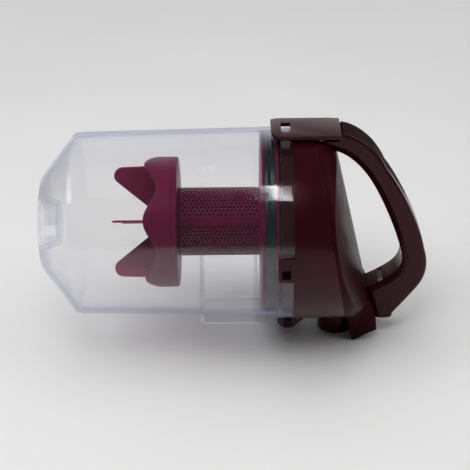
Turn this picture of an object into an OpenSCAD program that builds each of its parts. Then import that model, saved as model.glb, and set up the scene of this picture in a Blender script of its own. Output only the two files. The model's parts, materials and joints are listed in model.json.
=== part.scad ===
// Dust canister of a bagless vacuum cleaner: a clear bin with a cyclone separator inside,
// and a hinged lid that carries the fine filter, the carrying handle and the latch.
// Every piece is drawn about the bin's axis, with x = 0 at the bin's mouth and +X towards the handle.
// in_frame() then lifts the axis so that the docking ports and the foot rest on z = 0.

/* [Bin] */
// Length of the bin, from its mouth to the tip of its closed end
bin_len = 199.8; // [195:0.1:205]
// Outer radius of the bin's wall beside the rim
bin_r = 75.3; // [74.8:0.1:75.6]
// Wall thickness of the clear bin
bin_wall = 2.4; // [2:0.1:2.6]
// Outer radius of the rim flange
rim_r = 77.6; // [77.2:0.1:77.8]
// Length of the rim flange along the axis
rim_len = 12.2; // [12:0.1:13]

/* [Docking] */
// Height of the bin's axis above the surface that it docks on
axis_h = 99.5; // [99:0.5:102]
// Bore radius of the air outlet
outlet_bore_r = 12.5; // [11:0.1:13]

/* [Separator] */
// Outer radius of the perforated cage
cage_r = 27.2; // [26:0.1:28]
// Outer radius of the dust baffle's skirt
skirt_r = 52; // [50:0.5:54]
// Number of lobes on the baffle, with one vane behind each
lobes = 6; // [3:1:8]

/* [Lid] */
// Outer radius of the lid
lid_r = 78; // [77.9:0.1:79]
// Tilt of the seam between the lid and its end cap, in degrees
seam_tilt = 9.65; // [9:0.05:10]
// Tilt of the end cap's outer face, in degrees
face_tilt = 12.8; // [12:0.1:13.5]

/* [Handle and latch] */
// Width of the handle
handle_w = 26; // [25:1:28]
// Width of the latch lever
lever_w = 34.6; // [32:0.1:35]
// Height of the latch lever's top over the axis
lever_top = 82; // [82:0.5:83]

/* [Hidden] */
$fn = 96;
far = 200;                       // reach of the cutting blocks
gap = 0.3;                       // clearance between parts that move or are pushed together
draft = 0.019;                   // taper of the bin's wall, mm of radius per mm of length
hinge_x = -1.5;
hinge_z = -88.2;
ear_r = 11.1;                    // bin's hinge ears
ear_y = [10.3, 15];
knuckle_r = 8.6;                 // lid's hinge knuckle
hinge_pin_r = 2;
port_x = [-74.3, -17.5];         // outside of the inlet port's frame
port_y = [1, 43];
port_open_x = [-70.4, -28.5];    // its clear opening
port_open_y = [3.4, 40.6];
outlet_x = 39;
outlet_r = 15;
plate_x = [-23.6, -11];          // separator plate's two discs
plate_r = 72.35;
disc_t = 2.2;
cage_x = [-88.6, -23.7];
skirt_x = -88.7;                 // closed side of the baffle's skirt
rim_mean = -109.5;               // its lobed rim: mean place and half height of the lobes
rim_wave = 4.9;
seam_x = 32;                     // where the seam's plane crosses the axis
face_x = 49.6;                   // where the end cap's outer face crosses it
lid_wall = 2.6;
guide_r = 72;                    // lid's ring inside the bin's mouth, clear of it as the lid turns
latch_x = 22;                    // latch pivot
latch_z = 76.6;
root_z = [72.6, 78.2];           // the handle's root, let into the lid's top
root_w = 27;
latch_pin_r = 1.2;
lever_t = 3;
ear_of_lever_r = 2.4;
lever_bottom = lever_top - lever_t;
lever_x = [-16, 38.2];
spring_x = 33;
spring_z = [73.3, 78.9];
screw_at = 44;                   // the end cap's screws, from the axis both ways

// the handle's outer and inner edges in the plane of symmetry, [x, z] from the top down
outer_line = concat(
    bezier([37.6, 81.5], [50, 80.4], [65.5, 68.5], [74, 50.1], 10),
    part_of(bezier([74, 50.1], [86, 34], [103, 1], [107.3, -20.5], 8), 1, 8),
    part_of(bezier([107.3, -20.5], [111.2, -33], [112.4, -46], [101.9, -59.5], 10), 1, 10),
    part_of(bezier([101.9, -59.5], [97, -66.5], [90.5, -75], [84.8, -82], 4), 1, 4));
inner_line = concat(
    bezier([30, 66.8], [42, 66.5], [56, 52], [64.4, 36.8], 10),
    part_of(bezier([64.4, 36.8], [72.5, 22.5], [83.5, -2.5], [89, -23.4], 8), 1, 8),
    part_of(bezier([89, -23.4], [91.8, -32], [90, -40.5], [79.9, -47.2], 10), 1, 10),
    part_of(bezier([79.9, -47.2], [74.5, -51], [69, -54.5], [62.5, -57], 4), 1, 4));
x_mid = (max([for (p = outer_line) p[0]]) - bin_len) / 2;

// ---------- helpers ----------

module in_frame() translate([-x_mid, 0, axis_h]) children();

module about_x() rotate([0, 90, 0]) children();

module rod_x(x, r) translate([x[0], 0, 0]) about_x() cylinder(h = x[1] - x[0], r = r);

module rod_y(y, r, at) translate([at[0], y[0], at[1]]) rotate([-90, 0, 0])
    cylinder(h = y[1] - y[0], r = r);

module tube_x(x, r_out, r_in) difference() {
    rod_x(x, r_out);
    rod_x([x[0] - 1, x[1] + 1], r_in);
}

module block(x, y, z) translate([x[0], y[0], z[0]])
    cube([x[1] - x[0], y[1] - y[0], z[1] - z[0]]);

// a flat outline in the plane of symmetry, w wide across it
module slab(w, points) rotate([90, 0, 0]) linear_extrude(height = w, center = true)
    polygon(points);

module both_sides() {
    children();
    mirror([0, 1, 0]) children();
}

// all that lies outside a plane that faces away from the axis: d from the axis at x, rising by slope
module outside(angle, x, d, slope) rotate([angle, 0, 0]) translate([x, 0, d])
    rotate([0, -atan(slope), 0]) translate([-far, -far, 0]) cube([2 * far, 2 * far, far]);

module beyond_seam() translate([seam_x, 0, 0]) rotate([0, -seam_tilt, 0])
    translate([0, -far, -far]) cube([far, 2 * far, 2 * far]);

// what lies on the lid's side of the seam
module before_seam() translate([seam_x + 0.05, 0, 0]) rotate([0, -seam_tilt, 0])
    translate([-far, -far, -far]) cube([far, 2 * far, 2 * far]);

function seam_x_at(z) = seam_x - tan(seam_tilt) * z;

function bezier(a, b, c, d, n) = [for (i = [0:n]) let (t = i / n)
    pow(1 - t, 3) * a + 3 * t * pow(1 - t, 2) * b + 3 * t * t * (1 - t) * c + pow(t, 3) * d];

// a path moved sideways by d, to the left of its direction
function shifted(path, d) = [for (i = [0:len(path) - 1])
    let (a = path[max(i - 1, 0)], b = path[min(i + 1, len(path) - 1)], u = (b - a) / norm(b - a))
    path[i] + d * [-u[1], u[0]]];

function turned(path) = [for (i = [len(path) - 1:-1:0]) path[i]];

function part_of(path, from, to) = [for (i = [from:to]) path[i]];

function arc(centre, r, from, to, n) = [for (i = [0:n]) let (a = from + (to - from) * i / n)
    centre + r * [cos(a), sin(a)]];

// ---------- bin ----------

function bin_r_at(x) = bin_r + draft * (x + rim_len);

dimple_r = 15;
dimple_x = -186;
dome_r = 38.5;                   // the closed end's shallow dome ends here, and a chamfer begins
dome_x = -196;
shoulder_r = 71.5;               // the chamfer meets the wall here
shoulder_x = -170;
flat_x = -148;                   // the flats inside the wall start here

// the closed end and the wall as a solid, t smaller all round
module bin_body(t, flats) difference() {
    about_x() rotate_extrude() polygon([
        [0, dimple_x + t], [dimple_r + t, dimple_x + t], [dimple_r + 4.5 + t, -bin_len + t],
        [dimple_r + 7 + t / 2, -bin_len + 0.4 + t], [dome_r - 0.43 * t, dome_x + 0.93 * t],
        [shoulder_r - t, shoulder_x + 0.49 * t], [bin_r_at(shoulder_x + 4) - t, shoulder_x + 4 + 0.2 * t],
        [bin_r_at(0) - t, 0], [0, 0]]);
    // shallow flats inside the wall, twelve round the end
    if (flats)
        for (i = [0:11]) outside(30 * i, flat_x, bin_r_at(flat_x) - t, 0.1);
}

module hinge_ears() difference() {
    both_sides() {
        rod_y(ear_y, ear_r, [hinge_x, hinge_z]);
        block([-rim_len, -0.4], ear_y, [hinge_z, -74]);
    }
    rod_x([-60, 60], bin_r);
    rod_x([0, 60], lid_r + gap);
}

module port_frame() difference() {
    block(port_x, port_y, [-axis_h, -55]);
    rod_x([-90, 0], bin_r - 1.2);
    translate([port_x[0], port_y[0], -axis_h]) port_corner();
    translate([port_x[1], port_y[0], -axis_h]) rotate([0, 0, 90]) port_corner();
}

// rounds one upright edge of the port's frame
module port_corner(r = 3) difference() {
    translate([-1, -1, -1]) cube([r + 1, r + 1, 50]);
    translate([r, r, -2]) cylinder(h = 60, r = r);
}

module bin_shell() color([0.86, 0.88, 0.92, 0.4]) difference() {
    union() {
        bin_body(0, false);
        rod_x([-rim_len, 0], rim_r);
        hinge_ears();
        port_frame();
        // catch tooth for the latch
        block([-6.8, -2.2], [-7, 7], [74, lever_bottom - gap - 0.1]);
    }
    bin_body(bin_wall, true);
    rod_x([-1, 1], bin_r_at(0) - bin_wall);
    block(port_open_x, port_open_y, [-axis_h - 1, -30]);
    // notches in the rim for the lid's lugs
    both_sides() block([-12, 1], [70, 90], [-11, 11]);
    rod_y([-20, 20], hinge_pin_r + 0.05, [hinge_x, hinge_z]);
}

// insert that turns the incoming air along the far wall
module inlet_duct() color([0.80, 0.86, 0.94, 0.5]) {
    duct_x = [port_open_x[0] - 2.5, port_open_x[1] + 2.2];
    wall = 2.2;
    difference() {
        intersection() {
            block(duct_x, [port_y[0], 70], [-80, -2]);
            about_x() rotate_extrude() polygon([
                [0, duct_x[0]], [bin_r_at(duct_x[0]) - bin_wall - 0.15, duct_x[0]],
                [bin_r_at(duct_x[1]) - bin_wall - 0.15, duct_x[1]], [0, duct_x[1]]]);
        }
        // the air's way between the two cheeks
        block([duct_x[0] + wall, duct_x[1] - wall], [port_y[0] + wall, 80], [-90, 10]);
        // the near wall stays low
        block([duct_x[0] + wall, duct_x[1] - wall], [0, 10], [-66, 10]);
        // curved inner edge of the cheeks, clear of the cage
        translate([0, -6, 6]) rod_x([-90, 0], 44);
    }
}

module hinge_pin() color("silver") {
    rod_y([-15.6, 15.6], hinge_pin_r, [hinge_x, hinge_z]);
    rod_y([-17.2, -15.2], hinge_pin_r + 1.6, [hinge_x, hinge_z]);
}

// ---------- separator ----------

module separator_plate() color([0.42, 0.05, 0.16]) difference() {
    union() {
        tube_x([plate_x[0], plate_x[0] + disc_t], plate_r, cage_r - 2.6);
        tube_x([plate_x[1] - disc_t, plate_x[1]], plate_r, 40);
        tube_x([plate_x[0] + 1, plate_x[1] - 1], 68, 66);
        tube_x([plate_x[0] + 1, plate_x[1] - 1], 43, 40);
        // spokes between the two rings
        for (i = [0:5]) rotate([60 * i, 0, 0])
            block([plate_x[0] + 1, plate_x[1] - 1], [-1, 1], [42, 67]);
        tube_x([plate_x[0] - 1.2, plate_x[0] + 1], cage_r + 1.6, cage_r + 0.2);
    }
    rod_x([-40, 0], cage_r - 2.6);
}

// soft ring between the two discs, its lip against the bin's wall
module plate_seal() color([0.05, 0.16, 0.17]) about_x() rotate_extrude() polygon([
    [68.05, plate_x[0] + disc_t + 0.1], [71.6, plate_x[0] + disc_t + 0.1],
    [72.55, plate_x[0] + disc_t + 2], [72.0, plate_x[0] + disc_t + 4.5],
    [72.55, plate_x[1] - disc_t - 2.4], [71.6, plate_x[1] - disc_t - 0.1],
    [68.05, plate_x[1] - disc_t - 0.1]]);

module shroud_cage() color([0.42, 0.05, 0.18]) difference() {
    rod_x(cage_x, cage_r);
    rod_x([cage_x[0] + disc_t, 0], cage_r - disc_t);
    rod_x([cage_x[0] - 1, 0], 1.6);
}

module mesh_sleeve() color([0.35, 0.32, 0.34])
    tube_x([cage_x[0] + disc_t + 0.1, cage_x[1] - 0.4], cage_r - disc_t - 0.1, cage_r - disc_t - 0.8);

function lobed_rim(a) = rim_mean - rim_wave * cos(lobes * (a - 90));

module baffle_skirt() color([0.45, 0.04, 0.18]) {
    steps = 90;
    thick = 2;
    points = [for (i = [0:steps - 1]) let (a = 360 * i / steps, y = cos(a), z = sin(a), r = skirt_r - thick)
        each [[lobed_rim(a), skirt_r * y, skirt_r * z], [skirt_x, skirt_r * y, skirt_r * z],
              [skirt_x, r * y, r * z], [lobed_rim(a), r * y, r * z]]];
    faces = [for (i = [0:steps - 1]) let (a = 4 * i, b = 4 * ((i + 1) % steps))
        each concat([for (k = [0:2]) [a + k, a + k + 1, b + k + 1, b + k]],
            [[a + 3, a, b], [a + 3, b, b + 3]])];
    polyhedron(points, faces);
    difference() {
        rod_x([skirt_x - thick, skirt_x], skirt_r - thick + 0.3);
        rod_x([-120, 0], 1.7);
    }
}

vane_tip = [-130.9, 41.6];
vane_tip_r = 7.4;

// flat vanes behind the lobes, on a hub
module baffle_vanes() color([0.40, 0.04, 0.17]) difference() {
    union() {
        for (i = [0:lobes - 1]) rotate([360 * i / lobes, 0, 0])
            slab(1.6, concat(
                [[skirt_x - 2.1, 3], [skirt_x - 2.1, skirt_r - 2.2], [rim_mean, skirt_r - 2.2]],
                arc(vane_tip, vane_tip_r, 84, 232, 10),
                [[-101, 3]]));
        rod_x([-102, skirt_x - 2.1], 4);
    }
    rod_x([-150, 0], 1.6);
}

module baffle_screw() color("silver") {
    rod_x([-103, -78], 1.5);
    rod_x([-104.4, -102.1], 3.6);
}

// ---------- lid ----------

module ear_relief() both_sides()
    rod_y([ear_y[0] - gap, ear_y[1] + 0.6], ear_r + gap, [hinge_x, hinge_z]);

module lid_lugs() both_sides() difference() {
    intersection() {
        block([-11.4, 1], [70, 90], [-10.1, 10.1]);
        tube_x([-12, 2], lid_r - 0.2, 73.6);
    }
    block([-9.4, -2.6], [70, 90], [-7.6, 7.6]);
}

module hinge_knuckle() {
    rod_y([-9.9, 9.9], knuckle_r, [hinge_x, hinge_z]);
    slab(19.8, [
        [hinge_x, hinge_z - knuckle_r], [3, hinge_z - knuckle_r + 0.8], [18, -82], [18, -76.5],
        [0.4, -76.5], [0.4, -82], [hinge_x, hinge_z + knuckle_r]]);
}

// where the end cap is screwed on
module at_screws() for (y = [-1, 1], z = [-1, 1])
    translate([seam_x_at(z * screw_at), y * screw_at, z * screw_at]) about_x() children();

module screw_ears() difference() {
    intersection() {
        for (y = [-1, 1], z = [-1, 1]) let (x = seam_x_at(z * screw_at))
            translate([0, y * (screw_at + 4), z * (screw_at + 4)]) rod_x([x - 4.6, x + 1], 11);
        rod_x([0, 60], lid_r - 1);
    }
    beyond_seam();
}

module lid_shell() color([0.28, 0.05, 0.08]) difference() {
    union() {
        difference() {
            rod_x([0.4, 60], lid_r);
            rod_x([3, 70], lid_r - lid_wall);
            beyond_seam();
        }
        tube_x([-9, 1], guide_r, 69.8);
        tube_x([14, 16], lid_r - 1, 64);
        screw_ears();
        lid_lugs();
        hinge_knuckle();
    }
    rod_x([-20, 13.9], 69.8);
    handle_opening();
    at_screws() cylinder(h = 20, r = 1.5, center = true);
    // groove for the seal
    tube_x([0, 2.2], 75.2, 73.3);
    ear_relief();
    rod_y([-20, 20], hinge_pin_r + 0.05, [hinge_x, hinge_z]);
    translate([outlet_x, 0, -axis_h]) cylinder(h = 40, r = outlet_r + 0.1);
}

module lid_seal() color([0.12, 0.12, 0.13]) tube_x([0.1, 2.15], 75.15, 73.35);

module filter_frame() color([0.80, 0.80, 0.82]) {
    tube_x([-7, 13.8], 69.6, 67);
    tube_x([11.8, 13.4], 68.2, 60);
    tube_x([-7, -5.2], 20, 16.5);
    for (i = [0:7]) rotate([45 * i, 0, 0]) block([-6.7, -5.5], [-0.9, 0.9], [18.2, 68.2]);
}

// folded media, its folds running up and down
module filter_media() color([0.93, 0.92, 0.88]) {
    folds = 30;
    pitch = 4.4;
    depth = [2.2, 10.8];
    thick = 0.8;
    edge = [for (i = [-folds:folds]) [depth[abs(i) % 2], i * pitch / 2]];
    intersection() {
        linear_extrude(height = 160, center = true)
            polygon(concat(edge, turned([for (p = edge) p + [thick, 0]])));
        rod_x([0, 13], 66.7);
    }
}

module foam_prefilter() color([0.25, 0.25, 0.28]) rod_x([-5.2, 1.8], 66.7);

module outlet_spigot() color([0.26, 0.05, 0.08]) translate([outlet_x, 0, -axis_h]) difference() {
    cylinder(h = 27, r = outlet_r);
    translate([0, 0, -1]) cylinder(h = 30, r = outlet_bore_r);
}

// opening in the top of the lid and the end cap for the handle's root
module handle_opening() block([3, 60], [-root_w / 2 - 0.05, root_w / 2 + 0.05], [root_z[0] - 0.05, 90]);

// crowned end of the lid as a solid, t smaller all round
module cap_body(t) {
    crown_r = 220;
    r = lid_r + 2;
    fillet = 20;
    top = (face_x - seam_x) * cos(face_tilt) - t;
    intersection() {
        rod_x([0, 90], lid_r - t);
        translate([seam_x, 0, 0]) rotate([0, -face_tilt, 0]) intersection() {
            about_x() rotate_extrude() polygon(concat(
                [[0, -30], [r - t, -30]],
                [for (i = [0:8]) let (a = 90 * i / 8)
                    [r - fillet - t + fillet * cos(a), top - fillet * (1 - sin(a))]],
                [[0, top]]));
            translate([top - crown_r, 0, -100]) cylinder(h = 200, r = crown_r, $fn = 200);
        }
    }
}

// docking foot as a solid
module foot() slab(50, [[51, -axis_h], [70.4, -89.2], [69.8, -79.5], [64, -62], [54, -58], [46, -76]]);

module end_cap() color([0.30, 0.05, 0.09]) difference() {
    union() {
        difference() {
            cap_body(0);
            cap_body(lid_wall);
        }
        difference() {
            foot();
            cap_body(lid_wall);
        }
        // screw bosses
        intersection() {
            at_screws() translate([0, 0, -10]) cylinder(h = 50, r = 4);
            cap_body(1);
        }
    }
    before_seam();
    handle_opening();
    translate([outlet_x, 0, -axis_h - 1]) cylinder(h = 60, r = outlet_r + 0.6);
    // recess that keys the foot to its dock
    block([56, 66], [-17, 17], [-axis_h - 1, -88]);
    at_screws() cylinder(h = 15, r = 1.5, center = true);
}

module cap_screws() color("silver") at_screws() {
    translate([0, 0, -4.8]) cylinder(h = 11, r = 1.4);
    translate([0, 0, -6.8]) cylinder(h = 2.1, r = 3);
}

// ---------- handle ----------

pad_from = 0;                    // stretch of the outer line that the grip pad covers
pad_to = 14;
pad_w = 22;
pad_t = 2;
liner_from = 2;                  // stretch of the inner line that the liner covers
liner_to = 29;
liner_w = 20;
liner_t = 2.4;

// a strip along a path, from depth a to depth b on its left side
module strip(w, path, a, b) slab(w, concat(shifted(path, a), turned(shifted(path, b))));

// tongue that the grip pad fills, wider by d all round
module pad_tongue(d) intersection() {
    strip(pad_w + 2 * d, part_of(outer_line, pad_from, pad_to), -pad_t - d, d > 0 ? 1 : 0);
    translate([0, 0, -far]) linear_extrude(height = 2 * far) offset(delta = d) polygon(concat(
        [[30, -pad_w / 2], [64, -pad_w / 2]],
        [for (i = [0:8]) let (a = -90 + 180 * i / 8) [84 + 7 * cos(a), 4.4 * sin(a)]],
        [[64, pad_w / 2], [30, pad_w / 2]]));
}

// space that the latch's right end turns in
module latch_room() block([24, lever_x[1] + 0.8], [-20, 20], [75.6, 90]);

module handle_blank() {
    difference() {
        slab(handle_w, concat(
            outer_line, [[84.2, -85.2], [68, -86], [56, -70]], turned(inner_line),
            [[26, 68], [26, 75.6], [37.6, 75.6]]));
        latch_room();
        foot();
        cap_body(0);
        rod_x([0, seam_x], lid_r);
    }
    // root that carries the latch
    slab(root_w, [
        [3.1, root_z[0]], [3.1, root_z[1]], [24, root_z[1]], [24, 75.6], [39, 75.6], [39, root_z[0]]]);
}

module handle_frame() color([0.27, 0.05, 0.08]) difference() {
    handle_blank();
    pad_tongue(0.1);
    // hollow behind the liner
    strip(liner_w + 0.2, part_of(inner_line, liner_from, liner_to), -1, liner_t + 0.1);
    strip(liner_w - 5, part_of(inner_line, liner_from + 1, liner_to - 1), 0, 9.5);
    // latch pivot and spring pocket
    both_sides() block([latch_x - 4.2, latch_x + 4.2], [5.7, 9.3], [root_z[0] + 0.8, 90]);
    rod_y([-14, 14], latch_pin_r + 0.05, [latch_x, latch_z]);
    translate([spring_x, 0, spring_z[0] - 0.1]) cylinder(h = 20, r = 3.6);
    screw_places() cylinder(h = 10, r = 1.2);
}

module handle_liner() color([0.24, 0.04, 0.07]) difference() {
    strip(liner_w, part_of(inner_line, liner_from, liner_to), 0, liner_t);
    screw_places() cylinder(h = 30, r = 1.3, center = true);
    screw_places() translate([0, 0, -5]) cylinder(h = 5.9, r = 2.6);
}

// on the liner, pointing into the handle
module screw_places() for (i = [6, 14, 21]) let (p = inner_line[i], q = shifted(inner_line, 1)[i], u = q - p)
    translate([p[0], 0, p[1]]) rotate([0, atan2(u[0], u[1]), 0]) children();

module liner_screws() color("silver") screw_places() {
    translate([0, 0, 0.8]) cylinder(h = 8.1, r = 1.15);
    cylinder(h = 0.85, r = 2.3);
}

module grip_pad() color([0.10, 0.03, 0.04]) difference() {
    pad_tongue(0);
    latch_room();
}

// ---------- latch ----------

module latch_lever() color([0.36, 0.14, 0.17]) difference() {
    union() {
        intersection() {
            slab(lever_w, [
                [lever_x[0], lever_top + 1.8], [lever_x[0], lever_bottom + 2], [-13, lever_bottom],
                [lever_x[1], lever_bottom], [lever_x[1] - 0.6, lever_top - 0.5], [30, lever_top],
                [-10, lever_top], [-13.5, lever_top + 0.5]]);
            // rounded corners in plan
            translate([0, 0, 60]) linear_extrude(height = 60) polygon(concat(
                arc([lever_x[0] + 8, 8 - lever_w / 2], 8, 180, 270, 8), [[lever_x[1], -lever_w / 2]],
                [[lever_x[1], lever_w / 2]], arc([lever_x[0] + 8, lever_w / 2 - 8], 8, 90, 180, 8)));
        }
        both_sides() {
            rod_y([6, 9], ear_of_lever_r, [latch_x, latch_z]);
            block([latch_x - ear_of_lever_r, latch_x + ear_of_lever_r], [6, 9], [latch_z, lever_bottom + 1]);
        }
    }
    // window for the catch tooth
    block([-8.2, -0.8], [-8.1, 8.1], [60, 100]);
    rod_y([-20, 20], latch_pin_r + 0.05, [latch_x, latch_z]);
}

module latch_pin() color("silver") rod_y([-13, 13], latch_pin_r, [latch_x, latch_z]);

module latch_spring() color("silver") translate([spring_x, 0, 0]) {
    turns = 5;
    per_turn = 14;
    wire = 0.45;
    coil_r = 2.7;
    sides = 6;
    n = turns * per_turn;
    z0 = spring_z[0] + wire;
    rise = spring_z[1] - spring_z[0] - 2 * wire;
    points = [for (i = [0:n], k = [0:sides - 1])
        let (a = 360 * i / per_turn, b = 360 * k / sides, r = coil_r + wire * cos(b))
        [r * cos(a), r * sin(a), z0 + rise * i / n + wire * sin(b)]];
    faces = concat(
        [[for (k = [0:sides - 1]) k]],
        [for (i = [0:n - 1], k = [0:sides - 1]) let (a = i * sides, b = a + sides, m = (k + 1) % sides)
            [a + k, b + k, b + m, a + m]],
        [[for (k = [sides - 1:-1:0]) n * sides + k]]);
    polyhedron(points, faces);
}

// ---------- nodes ----------

in_frame() bin_shell();
in_frame() inlet_duct();
in_frame() hinge_pin();
in_frame() separator_plate();
in_frame() plate_seal();
in_frame() shroud_cage();
in_frame() mesh_sleeve();
in_frame() baffle_skirt();
in_frame() baffle_vanes();
in_frame() baffle_screw();
in_frame() lid_shell();
in_frame() lid_seal();
in_frame() filter_frame();
in_frame() filter_media();
in_frame() foam_prefilter();
in_frame() end_cap();
in_frame() cap_screws();
in_frame() outlet_spigot();
in_frame() handle_frame();
in_frame() handle_liner();
in_frame() liner_screws();
in_frame() grip_pad();
in_frame() latch_lever();
in_frame() latch_pin();
in_frame() latch_spring();
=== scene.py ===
import json
import math

import bmesh
import bpy
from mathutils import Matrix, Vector


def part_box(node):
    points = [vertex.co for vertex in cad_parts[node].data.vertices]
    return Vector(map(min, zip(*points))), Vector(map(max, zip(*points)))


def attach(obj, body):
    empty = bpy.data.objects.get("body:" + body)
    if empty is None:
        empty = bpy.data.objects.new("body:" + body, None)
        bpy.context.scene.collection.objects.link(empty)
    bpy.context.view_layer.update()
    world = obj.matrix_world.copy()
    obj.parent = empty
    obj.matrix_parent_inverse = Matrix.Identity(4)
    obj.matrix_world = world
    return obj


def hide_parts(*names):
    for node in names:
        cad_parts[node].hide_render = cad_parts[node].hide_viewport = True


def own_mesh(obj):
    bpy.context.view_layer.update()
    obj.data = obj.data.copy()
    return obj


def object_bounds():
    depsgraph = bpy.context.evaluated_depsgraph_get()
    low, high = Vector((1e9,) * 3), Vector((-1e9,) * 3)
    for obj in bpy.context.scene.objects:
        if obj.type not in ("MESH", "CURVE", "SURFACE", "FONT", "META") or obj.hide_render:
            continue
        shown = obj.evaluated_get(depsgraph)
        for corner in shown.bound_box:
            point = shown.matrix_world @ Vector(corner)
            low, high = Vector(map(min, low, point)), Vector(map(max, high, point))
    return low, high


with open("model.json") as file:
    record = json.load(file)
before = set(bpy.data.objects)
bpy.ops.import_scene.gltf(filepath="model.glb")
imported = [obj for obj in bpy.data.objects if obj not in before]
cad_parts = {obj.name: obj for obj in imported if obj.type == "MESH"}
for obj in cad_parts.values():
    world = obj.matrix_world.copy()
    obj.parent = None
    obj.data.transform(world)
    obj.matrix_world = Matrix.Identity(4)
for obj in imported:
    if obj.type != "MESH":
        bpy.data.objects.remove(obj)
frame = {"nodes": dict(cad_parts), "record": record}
cad_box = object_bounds()
nodes = frame["nodes"]
body_of = {n: b for b, members in frame["record"]["behaviour"]["bodies"].items() for n in members}
slot_of = {s["node"]: s["material_slot"] for s in frame["record"]["subparts"]}

MM = 0.001
SEAL_GAP = 0.1 * MM
# in metres, how near two vertices are joined, and how flat an edge is taken away
WELD = 2e-6
FLAT_ANGLE = math.radians(0.4)

# the frame's own places: the bin's axis, and the x of the bin's mouth, where the rim ends
cage_low, cage_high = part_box("shroud_cage")
axis_z = (cage_low.z + cage_high.z) / 2
mouth_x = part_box("lid_seal")[0].x - SEAL_GAP


def place(x, y, z):
    """A point given in mm from the centre of the bin's mouth, in the row frame."""
    return Vector((mouth_x + x * MM, y * MM, axis_z + z * MM))


def draw(co):
    """A point of the row frame in mm from the centre of the bin's mouth, the reverse of place()."""
    return Vector((co.x - mouth_x, co.y, co.z - axis_z)) / MM


# ---------- camera ----------

ELEVATION = math.radians(30)
DISTANCE = 1.0
VIEW_WIDTH = 0.376
ROLL = math.radians(-0.6)
AIM_BELOW_AXIS = 0.0112
AIM_X = -44.2

view_up = Vector((0, math.sin(ELEVATION), math.cos(ELEVATION)))
view_back = Vector((0, -math.cos(ELEVATION), math.sin(ELEVATION)))
aim = place(AIM_X, 0, 0) - AIM_BELOW_AXIS * view_up

camera_data = bpy.data.cameras.new("camera")
camera = bpy.data.objects.new("camera", camera_data)
bpy.context.scene.collection.objects.link(camera)
camera.location = aim + DISTANCE * view_back
camera.rotation_mode = "XYZ"
camera.rotation_euler = (math.pi / 2 - ELEVATION, 0, 0)
camera.rotation_euler.rotate_axis("Z", ROLL)
camera_data.lens = camera_data.sensor_width * DISTANCE / VIEW_WIDTH
camera_data.clip_end = 40
bpy.context.scene.camera = camera

# ---------- materials ----------


def new_material(name):
    """A material, its node tree and its shader."""
    material = bpy.data.materials.new(name)
    material.use_nodes = True
    tree = material.node_tree
    return material, tree, tree.nodes["Principled BSDF"]


def noise(tree, scale, detail=3.0, roughness=0.5):
    """Noise whose scale counts per metre in the piece's own coordinates."""
    place_node = tree.nodes.new("ShaderNodeTexCoord")
    node = tree.nodes.new("ShaderNodeTexNoise")
    node.inputs["Scale"].default_value = scale
    node.inputs["Detail"].default_value = detail
    node.inputs["Roughness"].default_value = roughness
    tree.links.new(place_node.outputs["Object"], node.inputs["Vector"])
    return node.outputs["Fac"]


def ramp(tree, value, stops):
    """Maps a value to colours at (position, colour) stops."""
    node = tree.nodes.new("ShaderNodeValToRGB")
    elements = node.color_ramp.elements
    while len(elements) < len(stops):
        elements.new(0.5)
    for element, (position, color) in zip(elements, stops):
        element.position = position
        element.color = (*color, 1)
    tree.links.new(value, node.inputs["Fac"])
    return node.outputs["Color"]


def spread(tree, value, low, high):
    """Maps 0.3 to 0.7 of a value, where noise mostly lies, to low to high."""
    node = tree.nodes.new("ShaderNodeMapRange")
    node.inputs["From Min"].default_value = 0.3
    node.inputs["From Max"].default_value = 0.7
    node.inputs["To Min"].default_value = low
    node.inputs["To Max"].default_value = high
    tree.links.new(value, node.inputs["Value"])
    return node.outputs["Result"]


def bump(tree, shader, height, distance, strength=1.0):
    """Bends the shader's normal by a height that rises to a distance in metres."""
    node = tree.nodes.new("ShaderNodeBump")
    node.inputs["Strength"].default_value = strength
    node.inputs["Distance"].default_value = distance
    tree.links.new(height, node.inputs["Height"])
    tree.links.new(node.outputs["Normal"], shader.inputs["Normal"])


def moulded(name, base, low_rough, high_rough, grain=900, depth=0.00001, gloss=0.5, vary=0.18):
    """Moulded plastic: slight mottling of colour and gloss, and a fine moulded grain."""
    material, tree, shader = new_material(name)
    shade = [tuple(c * (1 - vary) for c in base), tuple(c * (1 + vary) for c in base)]
    cloud = noise(tree, 22, 4)
    tree.links.new(ramp(tree, cloud, [(0.32, shade[0]), (0.68, shade[1])]), shader.inputs["Base Color"])
    tree.links.new(spread(tree, noise(tree, 60, 5), low_rough, high_rough), shader.inputs["Roughness"])
    bump(tree, shader, noise(tree, grain, 3), depth)
    shader.inputs["Specular IOR Level"].default_value = gloss
    strongest = max(base)
    shader.inputs["Specular Tint"].default_value = (*(0.6 + 0.4 * c / strongest for c in base), 1)
    return material


def maths(tree, operation, first, second):
    """A math node on a value and either another value or a number."""
    node = tree.nodes.new("ShaderNodeMath")
    node.operation = operation
    node.use_clamp = operation == "ADD"
    tree.links.new(first, node.inputs[0])
    if isinstance(second, float):
        node.inputs[1].default_value = second
    else:
        tree.links.new(second, node.inputs[1])
    return node.outputs["Value"]


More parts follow.
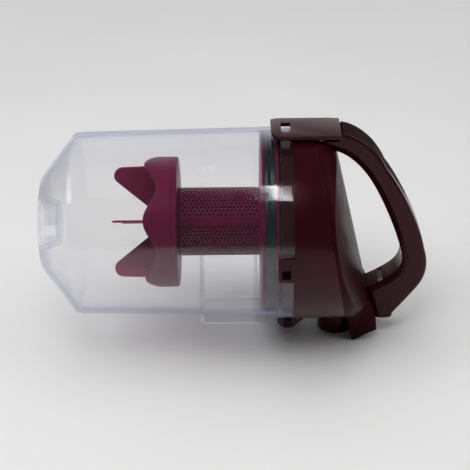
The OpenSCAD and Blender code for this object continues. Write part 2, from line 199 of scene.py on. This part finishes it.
def clear_plastic(name, tints, least, steepness):
    """Clear plastic: it lets light straight through, and mirrors more the flatter one looks at it."""
    material, tree, shader = new_material(name)
    weight = tree.nodes.new("ShaderNodeLayerWeight")
    weight.inputs["Blend"].default_value = 0.5
    facing = weight.outputs["Facing"]
    cloud = spread(tree, noise(tree, 14, 3), -0.04, 0.04)
    tree.links.new(ramp(tree, maths(tree, "ADD", facing, cloud), [(0.45, tints[0]), (0.95, tints[1])]),
                   shader.inputs["Base Color"])
    tree.links.new(spread(tree, noise(tree, 40, 4), 0.04, 0.11), shader.inputs["Roughness"])
    shader.inputs["Metallic"].default_value = 1.0
    mirrored = maths(tree, "ADD", maths(tree, "POWER", facing, steepness), least)
    tree.links.new(mirrored, shader.inputs["Alpha"])
    bump(tree, shader, noise(tree, 30, 2), 0.0001)
    absorb = tree.nodes.new("ShaderNodeVolumeAbsorption")
    absorb.inputs["Color"].default_value = (0.58, 0.60, 0.80, 1)
    absorb.inputs["Density"].default_value = 15
    tree.links.new(absorb.outputs["Volume"], tree.nodes["Material Output"].inputs["Volume"])
    return material


def grip_rubber(name, base):
    """Soft-touch rubber with rows of fine raised dots."""
    material, tree, shader = new_material(name)
    coordinates = tree.nodes.new("ShaderNodeTexCoord")
    dots = tree.nodes.new("ShaderNodeTexVoronoi")
    dots.feature = "F1"
    dots.inputs["Scale"].default_value = 620
    dots.inputs["Randomness"].default_value = 0.0
    tree.links.new(coordinates.outputs["Object"], dots.inputs["Vector"])
    shade = [tuple(c * 1.9 for c in base), base]
    tree.links.new(ramp(tree, dots.outputs["Distance"], [(0.15, shade[0]), (0.55, shade[1])]),
                   shader.inputs["Base Color"])
    tree.links.new(spread(tree, noise(tree, 80, 4), 0.5, 0.68), shader.inputs["Roughness"])
    bump(tree, shader, dots.outputs["Distance"], 0.00025, 0.6)
    shader.inputs["Specular IOR Level"].default_value = 0.04
    return material


def steel(name):
    """Bright steel with fine drawn scratches."""
    material, tree, shader = new_material(name)
    shader.inputs["Metallic"].default_value = 1.0
    shade = [(0.42, 0.42, 0.44), (0.66, 0.66, 0.68)]
    scratches = noise(tree, 300, 4)
    tree.links.new(ramp(tree, scratches, [(0.3, shade[0]), (0.7, shade[1])]), shader.inputs["Base Color"])
    tree.links.new(spread(tree, noise(tree, 900, 3), 0.22, 0.42), shader.inputs["Roughness"])
    bump(tree, shader, noise(tree, 1500, 2), 0.00001)
    return material


def cloth(name, base, scale, rough=0.9):
    """Open foam, paper or mesh: a coarse soft surface."""
    material, tree, shader = new_material(name)
    shade = [tuple(c * 0.6 for c in base), tuple(min(1, c * 1.2) for c in base)]
    cells = noise(tree, scale, 6, 0.7)
    tree.links.new(ramp(tree, cells, [(0.3, shade[0]), (0.7, shade[1])]), shader.inputs["Base Color"])
    tree.links.new(spread(tree, cells, rough - 0.08, rough), shader.inputs["Roughness"])
    bump(tree, shader, cells, 0.0004, 0.7)
    return material


LID_COLOR = (0.024, 0.0017, 0.0042)
CAP_COLOR = (0.026, 0.0019, 0.0046)
SEPARATOR_COLOR = (0.105, 0.0024, 0.030)
# painted light: the separator's colour made paler for the vanes, standing in for light that comes through
# them
VANE_PAINTED_LIGHT_COLOR = (0.20, 0.012, 0.058)
CLEAR_TINTS = [(0.93, 0.93, 0.95), (0.58, 0.59, 0.72)]
MATERIALS = {
    "clear_plastic": clear_plastic("clear_plastic", CLEAR_TINTS, 0.045, 4.5),
    "separator_plastic": moulded("separator_plastic", SEPARATOR_COLOR, 0.30, 0.42, gloss=0.25, vary=0.12),
    "lid_plastic": moulded("lid_plastic", LID_COLOR, 0.18, 0.27, gloss=0.32),
    "seal_rubber": moulded("seal_rubber", (0.004, 0.011, 0.014), 0.2, 0.30, grain=1400),
    "black_rubber": moulded("black_rubber", (0.012, 0.012, 0.013), 0.4, 0.55),
    "soft_grip": grip_rubber("soft_grip", (0.012, 0.0024, 0.0036)),
    "grey_plastic": moulded("grey_plastic", (0.42, 0.42, 0.44), 0.4, 0.5, depth=0.00003),
    "filter_paper": cloth("filter_paper", (0.72, 0.70, 0.63), 1500),
    "foam": cloth("foam", (0.05, 0.05, 0.055), 1100),
    "mesh": cloth("mesh", (0.035, 0.006, 0.014), 2600, 0.75),
    "steel": steel("steel"),
}
# two nodes differ from their slot: the vanes carry painted light, the separator's plastic painted paler as if
# light came through them, and the end cap is less glossy
OWN_LOOKS = {
    "baffle_vanes": moulded("vane_painted_light", VANE_PAINTED_LIGHT_COLOR, 0.30, 0.42, gloss=0.25, vary=0.12),
    "end_cap": moulded("cap_plastic", CAP_COLOR, 0.30, 0.40, gloss=0.08),
}


def paint(obj, material):
    """Makes a material an object's only one."""
    obj.data.materials.clear()
    obj.data.materials.append(material)


for name, obj in nodes.items():
    paint(obj, MATERIALS[slot_of[name]])

# ---------- mesh helpers ----------


def piece(name, verts, faces, node, smooth_angle=35):
    """A new piece that stands for a CAD node, on that node's body and in its slot."""
    mesh = bpy.data.meshes.new(name)
    mesh.from_pydata([tuple(v) for v in verts], [], faces)
    mesh.validate()
    mesh.update()
    obj = finish_piece(name, mesh, node, smooth_angle)
    merge(mesh)
    return obj


def merge(mesh):
    """Joins vertices that lie in one place, and turns every face outwards."""
    bm = bmesh.new()
    bm.from_mesh(mesh)
    bmesh.ops.remove_doubles(bm, verts=bm.verts, dist=WELD)
    bmesh.ops.recalc_face_normals(bm, faces=bm.faces)
    bm.to_mesh(mesh)
    bm.free()


def skin(rings, closed=False):
    """Vertices and faces of a surface through rings of equally many points, capped unless it is closed."""
    count = len(rings[0])
    last = len(rings) - 1
    faces = []
    for ring in range(len(rings) if closed else last):
        a, b = ring * count, (ring + 1) % len(rings) * count
        faces += [[a + k, a + (k + 1) % count, b + (k + 1) % count, b + k] for k in range(count)]
    if not closed:
        faces += [list(range(count))[::-1], [last * count + k for k in range(count)]]
    return [point for ring in rings for point in ring], faces


def finish_piece(name, mesh, node, smooth_angle=35):
    """Makes a mesh the piece that stands for a CAD node, smooth except at edges over an angle in degrees."""
    mesh.shade_smooth()
    mesh.set_sharp_from_angle(angle=math.radians(smooth_angle))
    obj = bpy.data.objects.new(name, mesh)
    bpy.context.scene.collection.objects.link(obj)
    paint(obj, OWN_LOOKS.get(node) or MATERIALS[slot_of[node]])
    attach(obj, body_of[node])
    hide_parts(node)
    return obj


def cleaned(node):
    """A copy of a CAD node's mesh with its flat faces made whole again."""
    bm = bmesh.new()
    bm.from_mesh(nodes[node].data)
    bmesh.ops.remove_doubles(bm, verts=bm.verts, dist=WELD)
    bmesh.ops.dissolve_limit(bm, angle_limit=FLAT_ANGLE, verts=bm.verts, edges=bm.edges)
    mesh = bpy.data.meshes.new(node + "_smooth")
    bm.to_mesh(mesh)
    bm.free()
    return mesh


def rounded(node, width, segments=3, angle=32, where=lambda a, b: True):
    """The CAD node with the sharp edges that where() picks rounded, as moulded plastic has them."""
    mesh = cleaned(node)
    bm = bmesh.new()
    bm.from_mesh(mesh)
    edges = [e for e in bm.edges if len(e.link_faces) == 2 and e.calc_face_angle(0) > math.radians(angle)
             and where(draw(e.verts[0].co), draw(e.verts[1].co))]
    bmesh.ops.bevel(bm, geom=edges, offset=width * MM, segments=segments, profile=0.5, affect="EDGES",
                    clamp_overlap=True)
    bm.to_mesh(mesh)
    bm.free()
    return finish_piece(node + "_finished", mesh, node)


# ---------- separator ----------

HOLE_PITCH = 3.23 * MM
ROW_PITCH = 3.0 * MM
HOLE_R = 0.98 * MM
HOLE_SIDES = 10
CAGE_WALL = 1.6 * MM
CAGE_MARGIN = 2.2 * MM
CAGE_TURNS = 96
BAND_WIDTH = 7 * MM
BAND_SLICES = 3
# where the first plain band lies round the bin's axis, from +Y towards +Z
FIRST_BAND = math.radians(150)


def perforated_cage():
    """The cage with real holes, in staggered rows, and plain bands every quarter turn."""
    radius = (cage_high.z - cage_low.z) / 2
    band = BAND_WIDTH / radius
    start_x, end_x = cage_low.x + CAGE_MARGIN, cage_high.x - CAGE_MARGIN
    rows = round((math.pi / 2 - band) * radius / ROW_PITCH)
    step = (math.pi / 2 - band) / rows
    columns = round((end_x - start_x) / HOLE_PITCH)
    pitch = (end_x - start_x) / columns
    verts, faces = [], []

    def on_wall(x, angle, depth):
        """The number of a new vertex at a depth under the cage's surface."""
        r = radius - depth
        verts.append((x, r * math.cos(angle), axis_z + r * math.sin(angle)))
        return len(verts) - 1

    def patch(x0, x1, a0, a1):
        """A plain stretch of the wall between two x and two angles."""
        outer = [on_wall(x, a, 0) for x, a in ((x0, a0), (x1, a0), (x1, a1), (x0, a1))]
        inner = [on_wall(x, a, CAGE_WALL) for x, a in ((x0, a0), (x1, a0), (x1, a1), (x0, a1))]
        faces.append(outer)
        faces.append(inner[::-1])

    def cell(x0, x1, a0, a1):
        """A stretch of the wall with one hole through its middle."""
        xm, am = (x0 + x1) / 2, (a0 + a1) / 2
        rings = []
        for depth in (0, CAGE_WALL):
            hole, frame_ring = [], []
            for k in range(HOLE_SIDES):
                t = 2 * math.pi * (k + 0.5) / HOLE_SIDES
                dx, da = math.cos(t), math.sin(t)
                hole.append(on_wall(xm + HOLE_R * dx, am + HOLE_R / radius * da, depth))
                reach = 1 / max(abs(dx) / ((x1 - x0) / 2), abs(da) / ((a1 - a0) / 2))
                frame_ring.append(on_wall(xm + reach * dx, am + reach * da, depth))
            corners = [on_wall(x, a, depth) for x, a in ((x1, a1), (x0, a1), (x0, a0), (x1, a0))]
            rings.append((hole, frame_ring, corners))
        for side, (hole, frame_ring, corners) in enumerate(rings):
            for k in range(HOLE_SIDES):
                j = (k + 1) % HOLE_SIDES
                face = [hole[k], frame_ring[k], frame_ring[j], hole[j]]
                corner = corner_between(k, x1 - x0, a1 - a0)
                if corner is not None:
                    face = [hole[k], frame_ring[k], corners[corner], frame_ring[j], hole[j]]
                faces.append(face if side == 0 else face[::-1])
        for k in range(HOLE_SIDES):
            j = (k + 1) % HOLE_SIDES
            faces.append([rings[0][0][k], rings[0][0][j], rings[1][0][j], rings[1][0][k]])

    def corner_between(k, size_x, size_a):
        """The corner of the cell that lies between two neighbouring rays, if any."""
        t0 = 2 * math.pi * (k + 0.5) / HOLE_SIDES
        t1 = 2 * math.pi * (k + 1.5) / HOLE_SIDES
        for index, (sx, sa) in enumerate(((1, 1), (-1, 1), (-1, -1), (1, -1))):
            t = math.atan2(sa * size_a, sx * size_x) % (2 * math.pi)
            if t0 < t < t1 or t0 < t + 2 * math.pi < t1:
                return index
        return None

    for quarter in range(4):
        centre = FIRST_BAND + quarter * math.pi / 2
        for part in range(BAND_SLICES):
            b0 = centre - band / 2 + band * part / BAND_SLICES
            patch(start_x, end_x, b0, b0 + band / BAND_SLICES)
        for row in range(rows):
            a0 = centre + band / 2 + row * step
            shift = pitch / 2 if row % 2 else 0
            if shift:
                patch(start_x, start_x + shift, a0, a0 + step)
                patch(end_x - shift, end_x, a0, a0 + step)
            for i in range(columns - row % 2):
                x0 = start_x + shift + i * pitch
                cell(x0, x0 + pitch, a0, a0 + step)
    # plain rims at both ends, and the closed end
    turns = [2 * math.pi * k / CAGE_TURNS for k in range(CAGE_TURNS + 1)]
    for x0, x1 in ((cage_low.x, start_x), (end_x, cage_high.x)):
        for a0, a1 in zip(turns, turns[1:]):
            patch(x0, x1, a0, a1)
    faces.append([on_wall(cage_low.x, a, 0) for a in turns[:-1]][::-1])
    faces.append([on_wall(cage_low.x + CAGE_WALL, a, CAGE_WALL) for a in turns[:-1]])
    ring_out = [on_wall(cage_high.x, a, 0) for a in turns[:-1]]
    ring_in = [on_wall(cage_high.x, a, CAGE_WALL) for a in turns[:-1]]
    for k in range(CAGE_TURNS):
        j = (k + 1) % CAGE_TURNS
        faces.append([ring_out[k], ring_out[j], ring_in[j], ring_in[k]])
    piece("perforated_cage", verts, faces, "shroud_cage", 40)


LOBES = 6
LOBE_TURN = math.radians(30)
LOBE_DEPTH = 4.9 * MM
SKIRT_WALL = 2.0 * MM
SKIRT_SHOULDER = 1.6 * MM
SKIRT_BORE = 4 * MM
SKIRT_TURNS = 240
# a fine groove round the skirt near its closed end: (distance from that end, depth)
SKIRT_GROOVE = [(4.6 * MM, 0), (4.3 * MM, 0.35 * MM), (4.0 * MM, 0.35 * MM), (3.7 * MM, 0)]


def lobed_skirt():
    """The baffle's skirt: a cup with a wavy rim, a rounded shoulder and a fine groove."""
    low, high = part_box("baffle_skirt")
    radius = (high.z - low.z) / 2
    inner = radius - SKIRT_WALL
    closed = high.x
    floor_x = closed - SKIRT_WALL
    profiles = []
    for k in range(SKIRT_TURNS):
        a = 2 * math.pi * k / SKIRT_TURNS
        rim = low.x + LOBE_DEPTH * (1 - math.cos(LOBES * (a - LOBE_TURN)))
        line = [(rim, inner), (rim - 0.1 * MM, radius - SKIRT_WALL / 2), (rim, radius - 0.25 * MM)]
        line.append((rim + 0.4 * MM, radius))
        line += [(rim + (closed - 5 * MM - rim) * t, radius) for t in (0.35, 0.7, 0.96)]
        line += [(closed - back, radius - depth) for back, depth in SKIRT_GROOVE]
        line += [(closed - SKIRT_SHOULDER * (1 - math.sin(t)), radius - SKIRT_SHOULDER * (1 - math.cos(t)))
                 for t in (0, 0.5, 1.0, math.pi / 2)]
        line += [(closed, radius * 0.6), (closed, SKIRT_BORE), (floor_x, SKIRT_BORE)]
        line += [(floor_x, inner - 2 * MM), (floor_x - 2 * MM, inner)]
        line += [(rim + (closed - 4 * MM - rim) * t, inner) for t in (0.6, 0.25)]
        profiles.append([(x, r * math.cos(a), axis_z + r * math.sin(a)) for x, r in line])
    piece("lobed_skirt", *skin(profiles, closed=True), "baffle_skirt", 40)


perforated_cage()
lobed_skirt()
rounded("baffle_vanes", 0.5)
rounded("separator_plate", 0.35, 2)

# ---------- lid and latch ----------

# in mm in the frame of draw(): where the lid's outer edges, the latch's strap and the strap's window lie
RIM_R = 77.5
RIM_X = 3
LEVER_BOTTOM = 78.9
WINDOW_X = (-9, 0)
WINDOW_HALF_Y = 9


def on_rim(a, b):
    """Whether an edge lies on the lid's outer circle, as those along the seam do."""
    return all(math.hypot(p.y, p.z) > RIM_R for p in (a, b)) and abs(a.x - b.x) < 2 and a.x > RIM_X


def on_strap(a, b):
    """Whether an edge belongs to the latch's strap and not to its window or ears."""
    in_window = all(WINDOW_X[0] < p.x < WINDOW_X[1] and abs(p.y) < WINDOW_HALF_Y for p in (a, b))
    return all(p.z > LEVER_BOTTOM for p in (a, b)) and not in_window


# the crowned face is a cylinder of this radius in mm, tilted, from the seam to the middle of the face
SEAM_X = 32
FACE_X = 49.6
FACE_TILT = math.radians(12.8)
CROWN_R = 220
CROWN_ANGLE = math.radians(5)


def smooth_crown(obj):
    """Gives the end cap's crowned face the normals of its true cylinder, so that its strips don't show."""
    along = Vector((math.cos(FACE_TILT), 0, math.sin(FACE_TILT)))
    rise = (FACE_X - SEAM_X) * math.cos(FACE_TILT)
    centre = place(SEAM_X, 0, 0) + (rise - CROWN_R) * MM * along
    mesh = obj.data
    corners = [Vector(c.vector) for c in mesh.corner_normals]
    for polygon in mesh.polygons:
        for loop in polygon.loop_indices:
            reach = mesh.vertices[mesh.loops[loop].vertex_index].co - centre
            true = (reach.dot(along) * along + Vector((0, reach.y, 0))).normalized()
            if polygon.normal.angle(true) < CROWN_ANGLE:
                corners[loop] = true
    mesh.normals_split_custom_set(corners)


rounded("lid_shell", 0.9, 3, 20, on_rim)
smooth_crown(rounded("end_cap", 0.9, 3, 20, on_rim))
rounded("latch_lever", 1.1, 3, 32, on_strap)
rounded("outlet_spigot", 0.5)

# ---------- handle ----------

# sizes in mm
HALF_WIDTH = 13
GRIP_HALF = 11
GRIP_DEPTH = 2
TAPER_X = 64
TIP_X = 84
TIP_HALF = 4.4
TIP_LENGTH = 7
LINER_HALF = 10.1
LINER_DEPTH = 2.5
CHAMFER = 5
SHOULDER = 3.2
# the handle's outer and inner edges in the plane of symmetry, as the ends and handles of Bezier curves
OUTER_CURVES = [((37.6, 81.5), (50, 80.4), (65.5, 68.5), (74, 50.1)),
                ((74, 50.1), (86, 34), (103, 1), (107.3, -20.5)),
                ((107.3, -20.5), (111.2, -33), (112.4, -46), (101.9, -59.5)),
                ((101.9, -59.5), (97, -66.5), (90.5, -75), (84.8, -82))]
INNER_CURVES = [((30, 66.8), (42, 66.5), (56, 52), (64.4, 36.8)),
                ((64.4, 36.8), (72.5, 22.5), (83.5, -2.5), (89, -23.4)),
                ((89, -23.4), (91.8, -32), (90, -40.5), (79.9, -47.2)),
                ((79.9, -47.2), (74.5, -51), (69, -54.5), (62.5, -57))]
CURVE_STEPS = (24, 28, 20, 8)
# the stations, counted from the handle's root, between which it has a groove for the liner
LINER_STATIONS = (5, 74)
# how far beyond the latch lever the sweep and the grip start
LEVER_GAP = 0.5
# the grip: where it ends, the narrowest it gets, its gap at the sides, and its rounded edges and top
GRIP_END_Z = -5
GRIP_LEAST_HALF = 0.3
GRIP_GAP = 0.12
GRIP_EDGE = 0.9
GRIP_DROP = 0.45
GRIP_SINK = 0.05
GRIP_STRIPS = 12
FOOT_STATIONS = [((84.9, -83.6), (66, -70)), ((84.2, -85.2), (69, -85.9))]


def along(curves):
    """Points [x, z] in mm along Bezier curves that follow one another."""
    points = []
    for (a, b, c, d), steps in zip(curves, CURVE_STEPS):
        for i in range(steps):
            t = i / steps
            w = ((1 - t) ** 3, 3 * t * (1 - t) ** 2, 3 * t * t * (1 - t), t ** 3)
            points.append(tuple(sum(k * p[axis] for k, p in zip(w, (a, b, c, d))) for axis in (0, 1)))
    points.append(curves[-1][3])
    return points


def grip_half_at(x):
    """Half width of the grip's tongue at x mm: it narrows to a round tip."""
    if x < TAPER_X:
        return GRIP_HALF
    if x < TIP_X:
        return GRIP_HALF + (TIP_HALF - GRIP_HALF) * (x - TAPER_X) / (TIP_X - TAPER_X)
    return TIP_HALF * math.sqrt(max(0.0, 1 - ((x - TIP_X) / TIP_LENGTH) ** 2))


outer_points = along(OUTER_CURVES)
inner_points = along(INNER_CURVES)
# the sweep and the grip start just beyond the latch lever; the sweep's first section leans back under the
# lever's end, so at this gap it still overlaps the lever a little, most when the latch is pressed
lever_end = draw(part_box("latch_lever")[1]).x + LEVER_GAP
first_station = next(i for i, p in enumerate(outer_points) if p[0] > lever_end)


def section(depth, grip_half, has_liner):
    """Half of the handle's section, as (depth, y), from the middle of its outer edge to that of its inner."""
    groove = GRIP_DEPTH if grip_half > 0 else 0
    bed = depth - (LINER_DEPTH if has_liner else 0)
    lip = max(grip_half, 1.0)
    line = [(groove, 0), (groove, lip * 0.5), (groove, lip), (0.0, lip + 0.02)]
    if lip < 8:
        line.append((0.06, lip + (HALF_WIDTH - SHOULDER * 0.6 - lip) * 0.5))
    else:
        line.append((0.03, lip + 0.25))
    rise = min(HALF_WIDTH - lip - 0.4, SHOULDER)
    for k in range(1, 7):
        t = math.pi / 2 * k / 6
        line.append((SHOULDER * (1 - math.cos(t)), HALF_WIDTH - rise + rise * math.sin(t)))
    line += [(depth * 0.5, HALF_WIDTH), (depth - CHAMFER - 0.8, HALF_WIDTH),
             (depth - CHAMFER, HALF_WIDTH - 0.15), (depth - CHAMFER + 0.9, HALF_WIDTH - 0.6),
             (depth - 1.0, LINER_HALF + 0.75), (depth - 0.35, LINER_HALF + 0.3), (depth, LINER_HALF + 0.05),
             (bed, LINER_HALF), (bed, LINER_HALF * 0.5), (bed, 0)]
    return line


def handle_root(start, end):
    """The CAD handle's own root, let into the lid, as far as the plane in which the sweep starts."""
    root = bmesh.new()
    root.from_mesh(nodes["handle_frame"].data)
    bmesh.ops.remove_doubles(root, verts=root.verts, dist=WELD)
    across = (end - start).cross(Vector((0, 1, 0)))
    if across.x < 0:
        across.negate()
    bmesh.ops.bisect_plane(root, geom=root.verts[:] + root.edges[:] + root.faces[:], plane_co=start,
                           plane_no=across, clear_outer=True)
    bmesh.ops.holes_fill(root, edges=[e for e in root.edges if e.is_boundary], sides=0)
    bmesh.ops.dissolve_limit(root, angle_limit=FLAT_ANGLE, verts=root.verts, edges=root.edges)
    mesh = bpy.data.meshes.new("handle_root")
    root.to_mesh(mesh)
    root.free()
    return mesh


def swept_handle():
    """The handle as one sweep with rounded shoulders, joined to the root that is let into the lid."""
    stations = (list(zip(outer_points, inner_points)) + FOOT_STATIONS)[first_station:]
    rings = []
    for index, ((ox, oz), (ix, iz)) in enumerate(stations, first_station):
        depth = math.hypot(ix - ox, iz - oz)
        ux, uz = (ix - ox) / depth, (iz - oz) / depth
        has_liner = LINER_STATIONS[0] <= index <= LINER_STATIONS[1]
        half = section(depth, grip_half_at(ox) if oz > GRIP_END_Z else 0, has_liner)
        ring = [(d, -y) for d, y in half] + [(d, y) for d, y in half[-2:0:-1]]
        rings.append([place(ox + d * ux, y, oz + d * uz) for d, y in ring])
    verts, faces = skin(rings)
    bm = bmesh.new()
    made = [bm.verts.new(v) for v in verts]
    for face in faces:
        bm.faces.new([made[k] for k in face])
    bmesh.ops.recalc_face_normals(bm, faces=bm.faces)
    (start_x, start_z), (end_x, end_z) = stations[0]
    bm.from_mesh(handle_root(place(start_x, 0, start_z), place(end_x, 0, end_z)))
    mesh = bpy.data.meshes.new("handle")
    bm.to_mesh(mesh)
    bm.free()
    finish_piece("handle", mesh, "handle_frame", 38)


def crowned_grip():
    """The soft grip in the handle's outer side: a tongue with a slight crown and rounded edges."""
    rings = []
    for (ox, oz), (ix, iz) in list(zip(outer_points, inner_points))[first_station:]:
        if oz <= GRIP_END_Z or grip_half_at(ox) <= GRIP_LEAST_HALF:
            continue
        depth = math.hypot(ix - ox, iz - oz)
        ux, uz = (ix - ox) / depth, (iz - oz) / depth
        half = grip_half_at(ox) - GRIP_GAP
        ring = []
        for k in range(GRIP_STRIPS + 1):
            y = half * (2 * k / GRIP_STRIPS - 1)
            side = min(1, (half - abs(y)) / min(GRIP_EDGE, half))
            drop = GRIP_DROP * (1 - math.sqrt(1 - (1 - side) ** 2))
            ring.append((GRIP_SINK + drop, y))
        ring += [(GRIP_DEPTH, half), (GRIP_DEPTH, -half)]
        rings.append([place(ox + d * ux, y, oz + d * uz) for d, y in ring])
    piece("crowned_grip", *skin(rings), "grip_pad", 50)


WIRE_R = 0.45 * MM
WIRE_SIDES = 10
SPRING_TURNS = 5
STEPS_PER_TURN = 28
# how much the coils bunch up, at the spring's ends and in its middle
BUNCHING = 0.03


def coil_spring():
    """The latch's spring as a smooth round wire at one fixed length, though the real one shortens as the
    latch is pressed.
    """
    low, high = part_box("latch_spring")
    middle = (low + high) / 2
    radius = (high.y - low.y) / 2 - WIRE_R
    steps = SPRING_TURNS * STEPS_PER_TURN
    rings = []
    for i in range(steps + 1):
        angle = 2 * math.pi * i / STEPS_PER_TURN
        share = i / steps
        eased = share - math.sin(4 * math.pi * share) * BUNCHING
        z = low.z + WIRE_R + (high.z - low.z - 2 * WIRE_R) * eased
        ring = []
        for k in range(WIRE_SIDES):
            b = 2 * math.pi * k / WIRE_SIDES
            r = radius + WIRE_R * math.cos(b)
            x, y = middle.x + r * math.cos(angle), middle.y + r * math.sin(angle)
            ring.append((x, y, z + WIRE_R * math.sin(b)))
        rings.append(ring)
    obj = piece("coil_spring", *skin(rings), "latch_spring", 50)
    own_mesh(obj)


swept_handle()
crowned_grip()
coil_spring()

# ---------- floor and light ----------

FLOOR_REACH = 9
FLOOR_DARK = (0.76, 0.755, 0.75)
FLOOR_LIGHT = (0.80, 0.795, 0.79)

floor_corners = [(FLOOR_REACH * x, FLOOR_REACH * y, 0) for x, y in ((-1, -1), (1, -1), (1, 1), (-1, 1))]
floor_mesh = bpy.data.meshes.new("floor")
floor_mesh.from_pydata(floor_corners, [], [(0, 1, 2, 3)])
floor = bpy.data.objects.new("floor", floor_mesh)
floor.location.z = cad_box[0].z
bpy.context.scene.collection.objects.link(floor)
floor_material, floor_tree, floor_shader = new_material("floor")
floor_color = ramp(floor_tree, noise(floor_tree, 3, 3), [(0.3, FLOOR_DARK), (0.7, FLOOR_LIGHT)])
floor_tree.links.new(floor_color, floor_shader.inputs["Base Color"])
floor_shader.inputs["Roughness"].default_value = 0.6
floor.data.materials.append(floor_material)


def area_light(name, azimuth, elevation, distance, width, height, power):
    """A soft box that faces the object from an azimuth (0 is the camera's side) and an elevation."""
    data = bpy.data.lights.new(name, "AREA")
    data.shape = "RECTANGLE"
    data.size = width
    data.size_y = height
    data.energy = power
    light = bpy.data.objects.new(name, data)
    a, e = math.radians(azimuth), math.radians(elevation)
    direction = Vector((math.sin(a) * math.cos(e), -math.cos(a) * math.cos(e), math.sin(e)))
    light.location = aim + distance * direction
    light.rotation_euler = direction.to_track_quat("Z", "Y").to_euler()
    bpy.context.scene.collection.objects.link(light)
    return light


# name, azimuth and elevation in degrees, distance, width and height in metres, watts, and whether glossy
# surfaces mirror it: the key and the overhead light aren't mirrored, or they would show in the bin's wall
LIGHTS = [("key", -22, 60, 1.3, 0.5, 0.5, 3.5, False),
          ("overhead", 180, 80, 2.4, 3.0, 2.4, 36, False),
          ("accent", 3.2, 62, 1.3, 0.03, 0.42, 0.6, True),
          ("left", -75, 45, 1.8, 1.2, 1.0, 9, True),
          ("right", 80, 40, 2.0, 1.2, 1.0, 7, True)]
for *measures, mirrored in LIGHTS:
    area_light(*measures).visible_glossy = mirrored

# the surroundings are dim, and bright towards +Y, behind the object
world = bpy.data.worlds.new("world")
bpy.context.scene.world = world
world.use_nodes = True
world_tree = world.node_tree
backdrop = world_tree.nodes["Background"]
direction_node = world_tree.nodes.new("ShaderNodeTexCoord")
split = world_tree.nodes.new("ShaderNodeSeparateXYZ")
world_tree.links.new(direction_node.outputs["Generated"], split.inputs["Vector"])
world_range = world_tree.nodes.new("ShaderNodeMapRange")
world_range.inputs["From Min"].default_value = 0.55
world_range.inputs["From Max"].default_value = 0.95
world_range.inputs["To Min"].default_value = 0.10
world_range.inputs["To Max"].default_value = 0.85
world_tree.links.new(split.outputs["Y"], world_range.inputs["Value"])
world_tree.links.new(world_range.outputs["Result"], backdrop.inputs["Strength"])
backdrop.inputs["Color"].default_value = (0.97, 0.98, 1.0, 1)

bpy.context.scene.view_settings.view_transform = "Standard"
bpy.context.scene.cycles.transparent_max_bounces = 32
